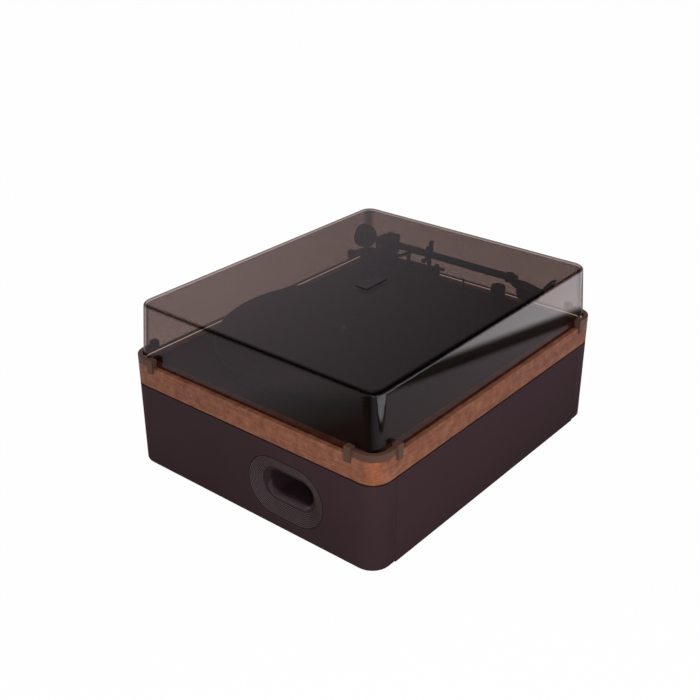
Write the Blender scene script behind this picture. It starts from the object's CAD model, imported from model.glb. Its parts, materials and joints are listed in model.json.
# %% [markdown]
# # A record player under a smoked cover
# The cabinet, the deck, the arm and every joint already exist as exact solids. This lesson dresses
# them: it gives each surface a finish made from nodes, adds the small repeated details that solids
# leave out, and lights the whole thing softly on a white ground.

# %% Load the solids
import json
import math
import bpy
from mathutils import Matrix, Vector


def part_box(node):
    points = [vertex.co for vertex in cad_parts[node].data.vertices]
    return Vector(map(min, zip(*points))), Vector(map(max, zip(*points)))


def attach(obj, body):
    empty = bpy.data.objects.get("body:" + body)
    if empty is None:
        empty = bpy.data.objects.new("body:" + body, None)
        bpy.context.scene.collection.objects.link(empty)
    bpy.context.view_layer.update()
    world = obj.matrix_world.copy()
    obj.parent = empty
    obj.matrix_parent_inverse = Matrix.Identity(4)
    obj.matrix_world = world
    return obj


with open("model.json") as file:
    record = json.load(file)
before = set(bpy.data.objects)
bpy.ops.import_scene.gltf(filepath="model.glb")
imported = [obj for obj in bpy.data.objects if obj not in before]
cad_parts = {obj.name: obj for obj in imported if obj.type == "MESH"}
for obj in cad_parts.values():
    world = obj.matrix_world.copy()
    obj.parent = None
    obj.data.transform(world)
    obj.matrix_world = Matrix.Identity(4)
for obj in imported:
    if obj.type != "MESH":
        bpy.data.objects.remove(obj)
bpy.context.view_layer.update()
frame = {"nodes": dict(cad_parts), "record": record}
nodes = frame["nodes"]
print("solids loaded:", len(nodes))


# %% [markdown]
# ## Writing materials as sums
# A finish is mostly small sums: a grain pattern times a strength, plus a colour. Wiring those by hand
# is slow to read. Here a socket is wrapped in a small class, so that `grain * 0.2 + 0.5` adds the
# nodes by itself. `node` makes any other node from its type, its settings and its inputs. It serves
# the finishes, the surround of the studio and the trees that grow small parts.

# %% Sockets that can be added and multiplied
class Wire:
    """An output of a node. Sums and products of wires add Math nodes."""

    def __init__(self, owner, socket):
        self.owner = owner
        self.socket = socket

    def worked(self, operation, *values):
        """A Math node on the given values or wires."""
        return self.owner.node("ShaderNodeMath", {"operation": operation}, dict(enumerate(values)))

    def __add__(self, other):
        return self.worked("ADD", self, other)

    def __sub__(self, other):
        return self.worked("SUBTRACT", self, other)

    def __mul__(self, other):
        return self.worked("MULTIPLY", self, other)

    def __truediv__(self, other):
        return self.worked("DIVIDE", self, other)

    def __rsub__(self, other):
        return self.worked("SUBTRACT", other, self)

    def __pow__(self, other):
        return self.worked("POWER", self, other)

    def __gt__(self, other):
        return self.worked("GREATER_THAN", self, other)

    def __lt__(self, other):
        return self.worked("LESS_THAN", self, other)

    def at_most(self, other):
        return self.worked("MINIMUM", self, other)

    def at_least(self, other):
        return self.worked("MAXIMUM", self, other)

    def sine(self):
        return self.worked("SINE", self)

    def cosine(self):
        return self.worked("COSINE", self)

    __radd__ = __add__
    __rmul__ = __mul__


class Nodes:
    """A tree of nodes under construction."""

    def __init__(self, tree):
        self.tree = tree
        self.tree.nodes.clear()

    def node(self, kind, settings=None, inputs=None, out=0):
        """One node of any type. It returns the output asked for, or a list of all of them."""
        made = self.tree.nodes.new(kind)
        for key, value in (settings or {}).items():
            if key == "stops":
                ramp = made.color_ramp
                while len(ramp.elements) < len(value):
                    ramp.elements.new(0.5)
                for element, (place, colour) in zip(ramp.elements, value):
                    element.position = place
                    element.color = (*colour, 1)
            else:
                setattr(made, key, value)
        for key, value in (inputs or {}).items():
            if isinstance(value, Wire):
                self.tree.links.new(value.socket, made.inputs[key])
            else:
                made.inputs[key].default_value = value
        if out == "all":
            return [Wire(self, socket) for socket in made.outputs]
        return Wire(self, made.outputs[out])

    def parts(self, vector):
        """The X, Y and Z of a vector."""
        return self.node("ShaderNodeSeparateXYZ", None, {0: vector}, out="all")

    def ramp(self, value, stops):
        return self.node("ShaderNodeValToRGB", {"stops": stops}, {0: value})

    def ray_is(self, kind):
        """1 for rays of one kind, such as Camera or Glossy, and 0 for others."""
        return self.node("ShaderNodeLightPath", out=f"Is {kind} Ray")

    def mix_shader(self, share, first, second):
        return self.node("ShaderNodeMixShader", None, {0: share, 1: first, 2: second})


class Finish(Nodes):
    """A material under construction."""

    def __init__(self, name):
        self.material = bpy.data.materials.new(name)
        self.material.use_nodes = True
        super().__init__(self.material.node_tree)

    def place(self, stretch=(1, 1, 1)):
        """The piece's own coordinates in metres, stretched."""
        raw = self.node("ShaderNodeTexCoord", out="Object")
        return self.node("ShaderNodeMapping", None, {"Vector": raw, "Scale": stretch})

    def speckle(self, vector, scale, detail=4.0, rough=0.5, twist=0.0):
        return self.node(
            "ShaderNodeTexNoise",
            None,
            {"Vector": vector, "Scale": scale, "Detail": detail, "Roughness": rough, "Distortion": twist},
        )

    def blend_colour(self, amount, first, second, mode="MIX"):
        settings = {"data_type": "RGBA", "blend_type": mode}
        return self.node("ShaderNodeMix", settings, {0: amount, 6: first, 7: second}, out=2)

    def relief(self, height, depth, strength=1.0):
        inputs = {"Height": height, "Distance": depth, "Strength": strength}
        return self.node("ShaderNodeBump", None, inputs)

    def skin(self, colour, roughness, normal, metallic=0.0, **fixed):
        """A Principled surface, finished and returned as a material."""
        inputs = {"Base Color": colour, "Roughness": roughness, "Metallic": metallic, "Normal": normal}
        inputs.update({key.replace("_", " "): value for key, value in fixed.items()})
        return self.close(self.node("ShaderNodeBsdfPrincipled", None, inputs))

    def close(self, shader):
        self.node("ShaderNodeOutputMaterial", None, {0: shader}, out="all")
        return self.material


finishes = {}
print("material helpers ready")


# %% [markdown]
# ## The wrapped cabinet
# The body of a player like this is fibreboard wrapped in dark vinyl. The wrap has a very fine leather
# grain, too small to see one by one, which breaks up highlights and makes the sides look matte. Two
# noises do that: a fine one for the grain, and a broad one for the slight unevenness of handled vinyl.

# %% Cabinet wrap
wrap = Finish("cabinet_wrap")
where = wrap.place()
grain = wrap.speckle(where, 1400, 3)
haze = wrap.speckle(where, 14, 5)
wrap_colour = wrap.blend_colour(haze, (0.036, 0.0200, 0.0236, 1), (0.047, 0.0270, 0.0312, 1))
finishes["cabinet_wrap"] = wrap.skin(
    wrap_colour, 0.52 + haze * 0.12, normal=wrap.relief(grain, 0.00012, 0.5), Specular_IOR_Level=0.07
)
print("wrap done")


# %% [markdown]
# ## The veneered band
# The band is board with thin reddish veneer running round it, so the grain follows each side: along X
# at the front and back, along Y at the left and right. The choice is made from the surface's normal.
# Soft streaks, a finer fibre and short dark pores are three noises stretched along the grain by very
# different amounts, since real grain is layered in the same way. A mottle with no direction carries
# about half of the tone. Where the veneer is bent round a corner its fibres stand on end and look more
# orange, so the colour shifts there. Lacquer shows only on the band's rounded long edges, where a thin
# coat catches a line of light.

# %% Veneer
veneer = Finish("veneer")
face_x, face_y, face_z = veneer.parts(veneer.node("ShaderNodeNewGeometry", out="Normal"))
sideways = face_x * face_x > 0.5
turning = (face_x * face_x * face_y * face_y * 4).at_most(1.0)
arris = (face_z * face_z * (1 - face_z * face_z) * 4).at_most(1.0)


def grain_layer(along, across, detail, rough, twist):
    """One noise stretched along X on the front and along Y on the sides."""
    front = veneer.speckle(veneer.place((along, across, across)), 1, detail, rough, twist)
    side = veneer.speckle(veneer.place((across, along, across)), 1, detail, rough, twist)
    return front * (1 - sideways) + side * sideways


streaks = grain_layer(9, 130, 5, 0.6, 0.8)
fibre = grain_layer(60, 800, 4, 0.6, 0.2)
pores = grain_layer(260, 1700, 2, 0.5, 0.0)
mottle = veneer.speckle(veneer.place(), 85, 6, 0.65)
tone = streaks * 0.22 + fibre * 0.30 + mottle * 0.48
veneer_colour = veneer.ramp(
    tone,
    [
        (0.34, (0.120, 0.044, 0.025)),
        (0.47, (0.205, 0.080, 0.047)),
        (0.54, (0.255, 0.104, 0.062)),
        (0.66, (0.345, 0.160, 0.102)),
    ],
)
veneer_colour = veneer.blend_colour(turning * 0.8, veneer_colour, (1.30, 1.12, 0.90, 1), "MULTIPLY")
pore_mask = pores > 0.63
veneer_colour = veneer.blend_colour(pore_mask * 0.4, veneer_colour, (0.07, 0.028, 0.018, 1))
finishes["veneer"] = veneer.skin(
    veneer_colour,
    0.36 + fibre * 0.16,
    normal=veneer.relief(fibre + pore_mask * -0.5, 0.00010, 0.4),
    Specular_IOR_Level=0.09,
    Coat_Weight=arris * 0.7,
    Coat_Roughness=0.15,
)
print("veneer done")


# %% [markdown]
# ## Deck, mouldings and rubber
# Everything under the cover is nearly black, and what tells the pieces apart is how they shine: the
# deck is a satin board, the arm's plinth is a finely textured moulding, the mat is dull rubber.

# %% Dark finishes from one recipe
def dark_finish(name, colour, roughness, grain_scale, grain_depth, strength=0.4, **fixed):
    """A dark surface with a fine grain in its relief and a slow change in its tone and shine."""
    made = Finish(name)
    spot = made.place()
    fine = made.speckle(spot, grain_scale, 3)
    slow = made.speckle(spot, 22, 4)
    brightening = 1.35
    lighter = tuple(c * brightening for c in colour)
    shade = made.blend_colour(slow, (*colour, 1), (*lighter, 1))
    relief = made.relief(fine, grain_depth, strength)
    finishes[name] = made.skin(shade, roughness + slow * 0.10 - 0.05, normal=relief, **fixed)


dark_finish("deck_finish", (0.015, 0.0105, 0.0100), 0.42, 1800, 0.000004, 0.1, Specular_IOR_Level=0.16)
dark_finish("moulded_black", (0.016, 0.0125, 0.0125), 0.46, 1500, 0.00008, 0.4, Specular_IOR_Level=0.35)
dark_finish("plate_black", (0.008, 0.0065, 0.0065), 0.22, 1500, 0.00001, 0.1)
dark_finish("clip_plastic", (0.082, 0.043, 0.031), 0.50, 1700, 0.00008, 0.4, Specular_IOR_Level=0.25)
dark_finish("socket_plastic", (0.02, 0.02, 0.02), 0.38, 1500, 0.00005)
dark_finish("dial_plastic", (0.022, 0.022, 0.023), 0.36, 1500, 0.00005)
dark_finish("ferrite", (0.03, 0.03, 0.032), 0.62, 1200, 0.0001)
dark_finish("cone_paper", (0.024, 0.023, 0.022), 0.82, 900, 0.0002, 0.7)
dark_finish("stylus_plastic", (0.26, 0.035, 0.02), 0.32, 1500, 0.00004)
dark_finish("circuit_board", (0.02, 0.09, 0.035), 0.38, 700, 0.00006)
dark_finish("raw_board", (0.27, 0.185, 0.115), 0.80, 700, 0.0002, 0.7)
print("dark finishes:", len(finishes))


# %% [markdown]
# ## Rings of the port
# The flange of the bass port steps down in nine rings towards its throat. Each step's edge is worn
# smooth by the mould and catches a thin line of light. The edges lie at even distances from a stadium
# outline, so the distance to the middle segment of that outline gives them all in one sum.

# %% Port rings
low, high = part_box("port_flange")
middle, size = (low + high) / 2, high - low
ringed = Finish("port_gloss")
spot_y, spot_z = ringed.parts(ringed.place())[1:]
beside = spot_y - middle.y
above = spot_z - middle.z
past_segment = (beside * beside) ** 0.5 - (size.y - size.z) / 2
past_segment = past_segment.at_least(0.0)
from_segment = (past_segment * past_segment + above * above) ** 0.5
ring_pitch, ring_count = 0.0016, 9
line_sharpness = 5
steps_in = (size.z / 2 - from_segment) / ring_pitch
wave = (steps_in * (2 * math.pi)).cosine() * 0.5 + 0.5
ring_line = wave ** line_sharpness * (steps_in > 0.5) * (steps_in < ring_count + 0.5)
ring_colour = ringed.blend_colour(ring_line * 0.75, (0.026, 0.0158, 0.0188, 1), (0.150, 0.112, 0.122, 1))
finishes["port_gloss"] = ringed.skin(
    ring_colour,
    0.24 + ring_line * 0.1,
    normal=ringed.relief(ring_line, 0.0002, 0.5),
    Specular_IOR_Level=0.6,
)
print("port rings done")


# %% [markdown]
# ## Grille cloth
# The front panel is a fine dark cloth stretched on a frame. Its threads cross at right angles about
# every 0.7 mm. Two sine waves, one for each thread direction, give the weave its height, and the
# threads' crowns catch slightly more light than the holes between them.

# %% Woven cloth
cloth = Finish("grille_fabric")
spot = cloth.place()
along_front, up_front = cloth.parts(spot)[::2]
thread_pitch = 0.0007
radians_per_metre = 2 * math.pi / thread_pitch
warp = (along_front * radians_per_metre).sine()
weft = (up_front * radians_per_metre).sine()
weave = warp * weft * 0.5 + 0.5
fleck = cloth.speckle(spot, 900, 2)
cloth_colour = cloth.blend_colour(
    weave * 0.6 + fleck * 0.4, (0.026, 0.0148, 0.0175, 1), (0.064, 0.0365, 0.0430, 1)
)
finishes["grille_fabric"] = cloth.skin(
    cloth_colour, 0.80, normal=cloth.relief(weave, 0.00010, 0.4), Specular_IOR_Level=0.08
)
print("cloth done")


# %% [markdown]
# ## Turned and ground metal
# A lathe leaves rings round its axis. Measuring the distance from the axis and taking a sine of it
# gives those rings, which are kept shallow, because on black anodised metal they only show as a soft
# spread of the highlight. The axis is the one that the piece turns on, so its place comes from the
# joint.

# %% Metals
def axis_of(joint):
    """Where the upright axis of a joint stands, seen from above."""
    found = next(entry for entry in frame["record"]["behaviour"]["joints"] if entry["name"] == joint)
    return found["pos_m"][:2]


def rings_about(made, spot, centre, pitch):
    """A height that rises and falls once in each pitch away from an upright axis."""
    flat = made.node("ShaderNodeVectorMath", {"operation": "SUBTRACT"}, {0: spot, 1: (*centre, 0)})
    flat = made.node("ShaderNodeVectorMath", {"operation": "MULTIPLY"}, {0: flat, 1: (1, 1, 0)})
    away = made.node("ShaderNodeVectorMath", {"operation": "LENGTH"}, {0: flat}, out=1)
    return (away * (2 * math.pi / pitch)).sine() * 0.5 + 0.5


def turned_metal(name, colour, roughness, centre, pitch):
    """Metal with lathe rings about an upright axis."""
    made = Finish(name)
    spot = made.place()
    rings = rings_about(made, spot, centre, pitch)
    slow = made.speckle(spot, 30, 3)
    finishes[name] = made.skin((*colour, 1), roughness + slow * 0.08, made.relief(rings, 0.00003, 0.3), 1.0)


def plain_metal(name, colour, roughness, grain=900):
    """Metal with a slight brushed variation in its shine."""
    made = Finish(name)
    slow = made.speckle(made.place((1, 1, 6)), grain, 3)
    finishes[name] = made.skin((*colour, 1), roughness + slow * 0.12, made.relief(slow, 0.00002, 0.2), 1.0)


spindle_at = axis_of("platter_spin")
turned_metal("platter_metal", (0.045, 0.045, 0.047), 0.30, spindle_at, 0.0009)
turned_metal("knob_metal", (0.035, 0.034, 0.035), 0.30, axis_of("volume_turn"), 0.0006)
plain_metal("bright_steel", (0.58, 0.58, 0.57), 0.20)
plain_metal("motor_steel", (0.16, 0.16, 0.165), 0.36)
plain_metal("brass_parts", (0.60, 0.42, 0.17), 0.25)
lacquered = {"grain_scale": 1200, "grain_depth": 0.00003, "strength": 0.2}
dark_finish(
    "arm_metal", (0.017, 0.0165, 0.018), 0.26, **lacquered, Coat_Weight=0.3, Coat_Roughness=0.12
)
dark_finish(
    "weight_metal", (0.015, 0.0148, 0.016), 0.28, **lacquered, Coat_Weight=0.2, Coat_Roughness=0.15
)
print("metals done")


# %% [markdown]
# ## Rubber mat
# The mat has close rings moulded in it that hold the record and its dust. They are far finer than the
# few grooves of the solid, so they are relief only.

# %% Rubber
rubber = Finish("black_rubber")
spot = rubber.place()
fine_rings = rings_about(rubber, spot, spindle_at, 0.0015)
dust = rubber.speckle(spot, 60, 5)
rubber_colour = rubber.blend_colour(dust, (0.0120, 0.0095, 0.0092, 1), (0.020, 0.0155, 0.0150, 1))
finishes["black_rubber"] = rubber.skin(
    rubber_colour,
    0.62 + dust * 0.12,
    normal=rubber.relief(fine_rings, 0.0002, 0.5),
    Specular_IOR_Level=0.30,
)
print("rubber done")


# %% [markdown]
# ## Smoked acrylic
# The cover is clear acrylic with a brown-grey dye. Light crossing each face is dimmed and slightly
# warmed, and the polished face mirrors the room more strongly the flatter it is seen. A tinted
# see-through shader lets the lamps light what is inside, and a mirror one is mixed with it. The share
# of mirror is a power of the facing angle, and not the ready-made node for clear bodies: the wall is a
# thick shell, and that node would turn its inner faces into full mirrors. Light that meets the wall at
# a slant, at an outline or in a rounded edge crosses more dye, so those parts go darker. The sawn
# lower edge carries a little light inside the sheet. It shows as a faint thin line at the foot of the
# two inner faces that look towards the front left.

# %% Smoked acrylic
smoke = Finish("smoked_acrylic")
facing_angle = smoke.node("ShaderNodeLayerWeight", None, {"Blend": 0.5}, out="Facing")
wall_x, wall_y, wall_z = smoke.parts(smoke.node("ShaderNodeNewGeometry", out="Normal"))
spot_x, spot_y, spot_z = smoke.parts(smoke.place())
cover_low, cover_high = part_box("dust_cover")

top_bend = wall_z * wall_z * (1 - wall_z * wall_z) * 4
upright_bend = wall_x * wall_x * wall_y * wall_y * 4
top_dye, corner_dye, outline_power = 0.80, 0.66, 9
long_path = (top_bend * top_dye).at_least(upright_bend * corner_dye)
long_path = long_path.at_least(facing_angle ** outline_power)

square_on = smoke.node("ShaderNodeBsdfTransparent", None, {"Color": (0.718, 0.665, 0.652, 1)})
slanted = smoke.node("ShaderNodeBsdfTransparent", None, {"Color": (0.468, 0.390, 0.352, 1)})
dense = smoke.node("ShaderNodeBsdfTransparent", None, {"Color": (0.105, 0.072, 0.062, 1)})
through = smoke.mix_shader(facing_angle, square_on, slanted)
through = smoke.mix_shader(long_path.at_most(1.0), through, dense)
mirror = smoke.node("ShaderNodeBsdfGlossy", None, {"Color": (1, 1, 1, 1), "Roughness": 0.012})
head_on_share, most_share, slant_power, bend_dulling = 0.04, 0.30, 5, 0.92
mirror_share = (facing_angle ** slant_power * (1 - head_on_share) + head_on_share).at_most(most_share)
mirror_share = mirror_share * (1 - top_bend * bend_dulling)
acrylic = smoke.mix_shader(mirror_share, through, mirror)

wall, edge_line = 0.003, 0.0012
off_right = spot_x - (cover_high.x - wall)
off_back = spot_y - (cover_high.y - wall)
on_inside = (off_right * off_right).at_most(off_back * off_back) < edge_line ** 2
cut_edge = (spot_z < cover_low.z + edge_line) * on_inside
edge_light = smoke.node("ShaderNodeEmission", None, {"Color": (1.0, 0.98, 0.96, 1), "Strength": 1.1})
acrylic = smoke.mix_shader(cut_edge * 0.8, acrylic, edge_light)
finishes["smoked_acrylic"] = smoke.close(acrylic)
print("acrylic done")


# %% [markdown]
# ## Dressing the solids
# The record names a material slot for every solid, and each finish above carries the name of its
# slot. Three pieces differ from the rest of their slot and are named apart: the port's two mouldings
# are glossier than the other mouldings, and the plate on the cover is a smooth one.

# %% Give every solid its finish
slot_of = {entry["node"]: entry["material_slot"] for entry in frame["record"]["subparts"]}
set_apart = {"port_flange": "port_gloss", "port_duct": "port_gloss", "cover_plate": "plate_black"}
for name, solid in nodes.items():
    solid.data.materials.clear()
    solid.data.materials.append(finishes[set_apart.get(name, slot_of[name])])
print("solids dressed:", len(nodes), "finishes:", len(finishes))


# %% [markdown]
# ## Ridges round the knob and the weight
# A knob is knurled so that fingers grip it. One straight ridge repeated round a circle is a job for
# Geometry Nodes: a circle of points, one ridge set on each point and turned outwards, then made real.
# The same small tree serves the knob, the weight, the collar and the dials with other numbers.

# %% A tree that sets ridges round a cylinder
class Growth(Nodes):
    """A Geometry Nodes tree under construction, with a named input for each of its sizes."""

    def __init__(self, name, inputs):
        super().__init__(bpy.data.node_groups.new(name, "GeometryNodeTree"))
        for label, (kind, value) in inputs.items():
            asked = self.tree.interface.new_socket(label, in_out="INPUT", socket_type="NodeSocket" + kind)
            if value is not None:
                asked.default_value = value
        self.tree.interface.new_socket("Geometry", in_out="OUTPUT", socket_type="NodeSocketGeometry")
        sockets = self.node("NodeGroupInput", out="all")
        self.given = {wire.socket.name: wire for wire in sockets}

    def close(self, shapes):
        """Makes the copies real, paints them and returns the finished tree."""
        real = self.node("GeometryNodeRealizeInstances", None, {0: shapes})
        painted = self.node("GeometryNodeSetMaterial", None, {0: real, "Material": self.given["Finish"]})
        self.node("NodeGroupOutput", None, {0: painted}, out="all")
        return self.tree


def ridge_tree():
    """Straight ridges on a circle, each turned outwards."""
    growth = Growth(
        "ridges_round",
        {
            "Radius": ("Float", 0.009),
            "Count": ("Int", 40),
            "Width": ("Float", 0.0006),
            "Depth": ("Float", 0.0003),
            "Height": ("Float", 0.012),
            "Finish": ("Material", None),
        },
    )
    given = growth.given
    around = {"Vertices": given["Count"], "Radius": given["Radius"]}
    circle = growth.node("GeometryNodeMeshCircle", None, around)
    sides = {0: given["Depth"], 1: given["Width"], 2: given["Height"]}
    size = growth.node("ShaderNodeCombineXYZ", None, sides)
    bar = growth.node("GeometryNodeMeshCube", None, {"Size": size})
    outwards = growth.node("GeometryNodeInputPosition")
    turn = growth.node(
        "FunctionNodeAlignEulerToVector", {"axis": "X", "pivot_axis": "Z"}, {"Vector": outwards}
    )
    spread = {"Points": circle, "Instance": bar, "Rotation": turn}
    return growth.close(growth.node("GeometryNodeInstanceOnPoints", None, spread))


def grown(name, tree, values, body, move, places=()):
    """The mesh a tree grows from named values, moved to its place and riding on a body."""
    start = bpy.data.meshes.new(name + "_seed")
    start.from_pydata(list(places), [], [])
    holder = bpy.data.objects.new(name + "_seed", start)
    bpy.context.scene.collection.objects.link(holder)
    modifier = holder.modifiers.new("grow", "NODES")
    modifier.node_group = tree
    for item in tree.interface.items_tree:
        if item.in_out == "INPUT" and item.name in values:
            modifier[item.identifier] = values[item.name]
    bpy.context.view_layer.update()
    ready = holder.evaluated_get(bpy.context.evaluated_depsgraph_get())
    mesh = bpy.data.meshes.new_from_object(ready)
    holder.modifiers.remove(modifier)
    bpy.data.objects.remove(holder)
    mesh.transform(move)
    piece = bpy.data.objects.new(name, mesh)
    bpy.context.scene.collection.objects.link(piece)
    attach(piece, body)
    print(name, "faces:", len(mesh.polygons))
    return piece


ridges = ridge_tree()
print("nodes in the ridge tree:", len(ridges.nodes))


# %% Ridges of the knob and the weight
def middle_and_size(node):
    """The middle and the size of a solid's box."""
    low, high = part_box(node)
    return (low + high) / 2, high - low


def band_of(name, node, body, along, finish, shift=0.0, lift=0.0, **sizes):
    """Ridges round a solid's own cylinder, whose axis is upright or lies along Y."""
    middle, size = middle_and_size(node)
    if along == "Y":
        place = Matrix.Translation(middle + Vector((0, shift, 0))) @ Matrix.Rotation(math.pi / 2, 4, "X")
    else:
        place = Matrix.Translation(middle + Vector((0, 0, shift)))
    values = {"Radius": size.x / 2 + lift, "Finish": finishes[finish], **sizes}
    return grown(name, ridges, values, body, place)


smooth_ends = 0.005
knob_size = middle_and_size("volume_knob")[1]
knurl = band_of(
    "knob_knurl", "volume_knob", "volume", "Z", "knob_metal", shift=-0.0005,
    Count=48, Width=0.00055, Depth=0.0005, Height=knob_size.z - smooth_ends,
)

band_from_end = 0.0022
weight_size = middle_and_size("counterweight")[1]
grip = band_of(
    "weight_knurl", "counterweight", "weight", "Y", "weight_metal",
    shift=weight_size.y / 2 - band_from_end, lift=-0.0001,
    Count=72, Width=0.00045, Depth=0.0004, Height=0.0016,
)


# %% [markdown]
# ## Grips and marks on the arm
# The headshell collar and the anti-skate dial are gripped by finger and thumb, so each has its own
# ridges from the same tree. The force dial is a smooth ring with painted graduations: the same
# ridges, wide apart and almost flat, in a pale finish. The marks carry no numbers.

# %% Collar ridges, dial ridges, force marks
dark_finish("mark_paint", (0.55, 0.54, 0.52), 0.55, 1500, 0.00002, 0.2)
collar_grip = band_of(
    "collar_grip", "head_collar", "collar", "Y", "arm_metal", lift=-0.00012,
    Count=28, Width=0.0004, Depth=0.0004, Height=0.0045,
)
dial_grip = band_of(
    "anti_skate_grip", "anti_skate_dial", "anti_skate", "Z", "moulded_black", shift=0.0008, lift=-0.0001,
    Count=32, Width=0.0004, Depth=0.0004, Height=0.0016,
)
force_marks = band_of(
    "force_marks", "force_dial", "dial", "Y", "mark_paint",
    Count=30, Width=0.00035, Depth=0.0001, Height=0.0016,
)


# %% [markdown]
# ## Ridges of the mat
# A record rests on the mat's rings. The rule is one low ridge per 3 mm of radius, so it is grown
# rather than drawn: a row of points gives the radii, each becomes a circle, and a small rounded
# section is swept along all of them. The middle is left smooth for the label.

# %% Mat ridges
def ring_tree():
    """Rings about one middle, each a step wider than the last."""
    growth = Growth(
        "rings_in_step",
        {
            "First": ("Float", 0.055),
            "Step": ("Float", 0.003),
            "Count": ("Int", 28),
            "Section": ("Float", 0.0004),
            "Finish": ("Material", None),
        },
    )
    given = growth.given
    row = growth.node("GeometryNodePoints", None, {"Count": given["Count"]})
    number = growth.node("GeometryNodeInputIndex")
    radius = number.worked("MULTIPLY_ADD", number, given["Step"], given["First"])
    ring = growth.node("GeometryNodeCurvePrimitiveCircle", None, {"Resolution": 128, "Radius": 1.0})
    spread = {"Points": row, "Instance": ring, "Scale": radius}
    rings = growth.node("GeometryNodeInstanceOnPoints", None, spread)
    rings = growth.node("GeometryNodeRealizeInstances", None, {0: rings})
    section = {"Resolution": 6, "Radius": given["Section"]}
    section = growth.node("GeometryNodeCurvePrimitiveCircle", None, section)
    return growth.close(
        growth.node("GeometryNodeCurveToMesh", None, {"Curve": rings, "Profile Curve": section})
    )


sunk = 0.0001
mat_middle, mat_size = middle_and_size("slip_mat")
mat_rings = grown(
    "mat_rings",
    ring_tree(),
    {"First": 0.056, "Step": 0.003, "Count": 29, "Section": 0.0004, "Finish": finishes["black_rubber"]},
    "platter",
    Matrix.Translation(mat_middle + Vector((0, 0, mat_size.z / 2 - sunk))),
)


# %% [markdown]
# ## Screws of the rear panel
# The connector panel is held by pan-head screws with a cross recess. The head is turned on a lathe:
# rings of points on a domed profile, with the points inside the cross pushed down. One head is set on
# each place by a tree, and each is given its own small turn, since no two screws stop at one angle.

# %% Screw heads
def screw_head(name, radius, dome, recess):
    """A pan head whose top is at +Z, with a cross-shaped recess."""
    around, rings = 48, 14
    cross_half_width, cross_reach, rim_drop = radius * 0.16, radius * 0.58, 0.75
    turns = [2 * math.pi * step / around for step in range(around)]
    corners = [(0, 0, dome - recess)]
    for ring in range(1, rings + 1):
        share = ring / rings
        for turn in turns:
            x, y = radius * share * math.cos(turn), radius * share * math.sin(turn)
            in_cross = min(abs(x), abs(y)) < cross_half_width and max(abs(x), abs(y)) < cross_reach
            corners.append((x, y, dome - recess if in_cross else dome * (1 - share ** 4 * rim_drop)))
    corners += [(radius * math.cos(turn), radius * math.sin(turn), 0) for turn in turns]
    faces = [(0, 1 + step, 1 + (step + 1) % around) for step in range(around)]
    for ring in range(rings):
        start = 1 + ring * around
        for step in range(around):
            after = (step + 1) % around
            faces.append((start + step, start + around + step, start + around + after, start + after))
    mesh = bpy.data.meshes.new(name)
    mesh.from_pydata(corners, [], faces)
    return mesh


def placing_tree():
    """Sets a given piece on every vertex of the mesh it is used on, each with its own turn."""
    growth = Growth(
        "piece_on_places",
        {
            "Geometry": ("Geometry", None),
            "Piece": ("Object", None),
            "Seed": ("Int", 5),
            "Finish": ("Material", None),
        },
    )
    given = growth.given
    piece = growth.node("GeometryNodeObjectInfo", None, {"Object": given["Piece"]}, out="Geometry")
    turn = growth.node(
        "FunctionNodeRandomValue",
        {"data_type": "FLOAT_VECTOR"},
        {0: (0, 0, 0), 1: (0, 0, math.pi / 2), "Seed": given["Seed"]},
    )
    spread = {"Points": given["Geometry"], "Instance": piece, "Rotation": turn}
    return growth.close(growth.node("GeometryNodeInstanceOnPoints", None, spread))


def rectangle(half_long, half_high):
    """The four corners of a flat rectangle about its middle, in order round it."""
    return [
        (-half_long, -half_high, 0),
        (half_long, -half_high, 0),
        (half_long, half_high, 0),
        (-half_long, half_high, 0),
    ]


head_mesh = screw_head("pan_head", radius=0.0024, dome=0.0012, recess=0.0008)
head = bpy.data.objects.new("pan_head", head_mesh)
bpy.context.scene.collection.objects.link(head)
panel_middle, panel_size = middle_and_size("rear_panel")
screw_inset, seated = 0.005, 0.00005
panel_back = panel_middle + Vector((0, panel_size.y / 2 - seated, 0))
facing_back = Matrix.Rotation(-math.pi / 2, 4, "X")
rear_screws = grown(
    "rear_screws",
    placing_tree(),
    {"Piece": head, "Seed": 5, "Finish": finishes["motor_steel"]},
    "cabinet",
    Matrix.Translation(panel_back) @ facing_back,
    rectangle(panel_size.x / 2 - screw_inset, panel_size.z / 2 - screw_inset),
)
bpy.data.objects.remove(head)


# %% [markdown]
# ## Ground and surround
# The white surround is what the camera and clear materials see. Glossy faces do not see it. They show
# another room: on the floor, bright and dark strips where windows, furniture and flags would stand,
# and above it a sky that starts cool at the horizon, dims and warms with height, is white straight
# overhead and is darker towards the front right. That is what draws the slanting reflections in the
# cover. It also gives glossy faces some light of its own. The pattern is laid out for the camera's
# place, so other views show it elsewhere on the cover.

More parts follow.
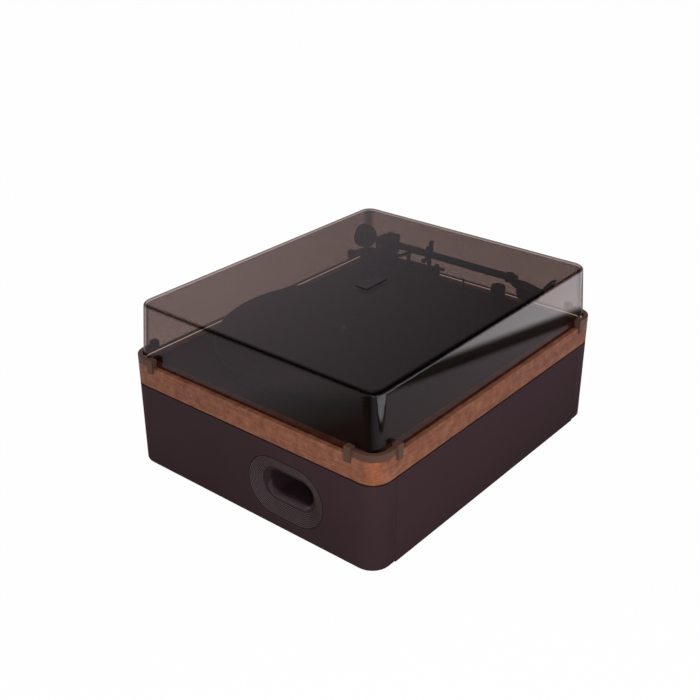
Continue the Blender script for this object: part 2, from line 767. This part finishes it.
# %% Floor and white surround
floor_mesh = bpy.data.meshes.new("studio_floor")
floor_reach = 6.0
floor_mesh.from_pydata(rectangle(floor_reach, floor_reach), [], [(0, 1, 2, 3)])
floor = bpy.data.objects.new("studio_floor", floor_mesh)
bpy.context.scene.collection.objects.link(floor)
ground = Finish("pale_floor")
mirrored = ground.ray_is("Glossy")
shown_bright = ground.ray_is("Camera").at_least(mirrored).at_least(ground.ray_is("Transmission"))
matte = ground.node("ShaderNodeBsdfDiffuse", None, {"Color": (0.80, 0.80, 0.80, 1)})
paper_white = ground.node("ShaderNodeEmission", None, {"Color": (1, 1, 1, 1), "Strength": 1.0})
floor_x, floor_y = ground.parts(ground.place())[:2]
strips_face = (-0.29, 0.96)
across_strips = (floor_x * strips_face[0] + floor_y * strips_face[1]) * 0.5 + 0.5
strips = ground.ramp(
    across_strips,
    [
        (0.190, (0.86, 0.86, 1.00)),
        (0.244, (1.00, 0.97, 1.00)),
        (0.252, (0.045, 0.033, 0.029)),
        (0.266, (0.027, 0.019, 0.016)),
        (0.272, (0.235, 0.205, 0.225)),
        (0.330, (0.19, 0.163, 0.175)),
        (0.440, (0.034, 0.022, 0.015)),
        (0.600, (0.040, 0.027, 0.020)),
        (0.680, (0.26, 0.228, 0.250)),
        (0.900, (0.19, 0.170, 0.185)),
    ],
)
in_mirrors = ground.node("ShaderNodeEmission", None, {"Color": strips, "Strength": 2.2})
as_seen = ground.mix_shader(mirrored, paper_white, in_mirrors)
shadow_kept = 0.98
floor_mesh.materials.append(ground.close(ground.mix_shader(shown_bright * shadow_kept, matte, as_seen)))

world = bpy.data.worlds.new("studio")
bpy.context.scene.world = world
world.use_nodes = True
sky = Nodes(world.node_tree)
across, along, height = sky.parts(sky.node("ShaderNodeTexCoord", out="Generated"))
room = sky.ramp(
    height,
    [
        (0.0, (0.50, 0.47, 0.55)),
        (0.9, (0.17, 0.12, 0.10)),
        (1.0, (1.00, 1.00, 1.00)),
    ],
)
side_shade = sky.node(
    "ShaderNodeMapRange",
    None,
    {"Value": along - across, "From Min": -0.34, "From Max": 0.05, "To Min": 0.35, "To Max": 1.15},
)
fill = sky.node("ShaderNodeBackground", None, {0: (1.0, 0.95, 0.97, 1), 1: 0.36})
white = sky.node("ShaderNodeBackground", None, {0: (1, 1, 1, 1), 1: 1.0})
mirrored_room = sky.node("ShaderNodeBackground", None, {0: room, 1: side_shade})
unseen = sky.mix_shader(sky.ray_is("Glossy"), fill, mirrored_room)
seen = sky.ray_is("Camera").at_least(sky.ray_is("Transmission"))
surround = sky.mix_shader(seen, unseen, white)
sky.node("ShaderNodeOutputWorld", None, {0: surround}, out="all")
print("floor and surround ready")


# %% [markdown]
# ## Lamps
# Four soft boxes light the player at a plain level: one above, one in front, one at the left and a
# small one near the front left corner. They are kept out of mirrors, or the flat cover would show
# each one as a white sheet.

# %% Soft boxes
def soft_box(name, at, towards, size, power, colour=(1, 1, 1)):
    """A soft box at one place, turned towards another."""
    data = bpy.data.lights.new(name, "AREA")
    data.shape = "RECTANGLE"
    data.size, data.size_y = size
    data.energy = power
    data.color = colour
    lamp = bpy.data.objects.new(name, data)
    lamp.location = at
    lamp.rotation_euler = (Vector(towards) - Vector(at)).to_track_quat("-Z", "Y").to_euler()
    lamp.visible_glossy = False
    lamp.visible_camera = False
    bpy.context.scene.collection.objects.link(lamp)


soft_box("overhead_box", (0.1, 0.2, 1.7), (0, 0, 0.1), (1.4, 1.4), 11)
soft_box("front_box", (0.9, -1.4, 0.9), (0, 0, 0.1), (0.9, 0.9), 7, (1.0, 0.97, 0.95))
soft_box("left_box", (-1.7, -0.2, 0.8), (0, 0, 0.1), (0.8, 0.8), 4, (0.96, 0.98, 1.0))
soft_box("corner_box", (-0.78, -0.74, 0.36), (-0.2, -0.17, 0.11), (0.22, 0.22), 3.2, (1.0, 0.97, 0.94))
print("lights ready")


# %% [markdown]
# ## Camera
# The camera stands where the straight edges of the cabinet, the band and the cover say that it stood.
# Its place, its three angles and its focal length were solved from them.

# %% Camera
turn_about, look_down, tilt = math.radians(-50.452), math.radians(26.975), math.radians(-0.206)
camera_at = Vector((-0.8779, -0.6935, 0.6861))
focal_length, sensor_width = 55.06, 36
level_share = math.cos(look_down)
back = Vector((math.sin(turn_about) * level_share, -math.cos(turn_about) * level_share, math.sin(look_down)))
level = (-back).cross(Vector((0, 0, 1))).normalized()
upright = level.cross(-back)
right = level * math.cos(tilt) + upright * math.sin(tilt)
top = upright * math.cos(tilt) - level * math.sin(tilt)
camera_data = bpy.data.cameras.new("camera")
camera_data.sensor_width = sensor_width
camera_data.lens = focal_length
camera = bpy.data.objects.new("camera", camera_data)
stance = Matrix((right, top, back)).transposed().to_4x4()
stance.translation = camera_at
camera.matrix_world = stance
bpy.context.scene.collection.objects.link(camera)
bpy.context.scene.camera = camera
bpy.context.scene.view_settings.view_transform = "Standard"
print("camera at", tuple(round(v, 4) for v in camera.location))


# %% [markdown]
# ## Measuring
# Dressing must not make the player larger or move it. The box round it is measured right after
# loading and again at the end, and both are written down.

# %% Measure and finish
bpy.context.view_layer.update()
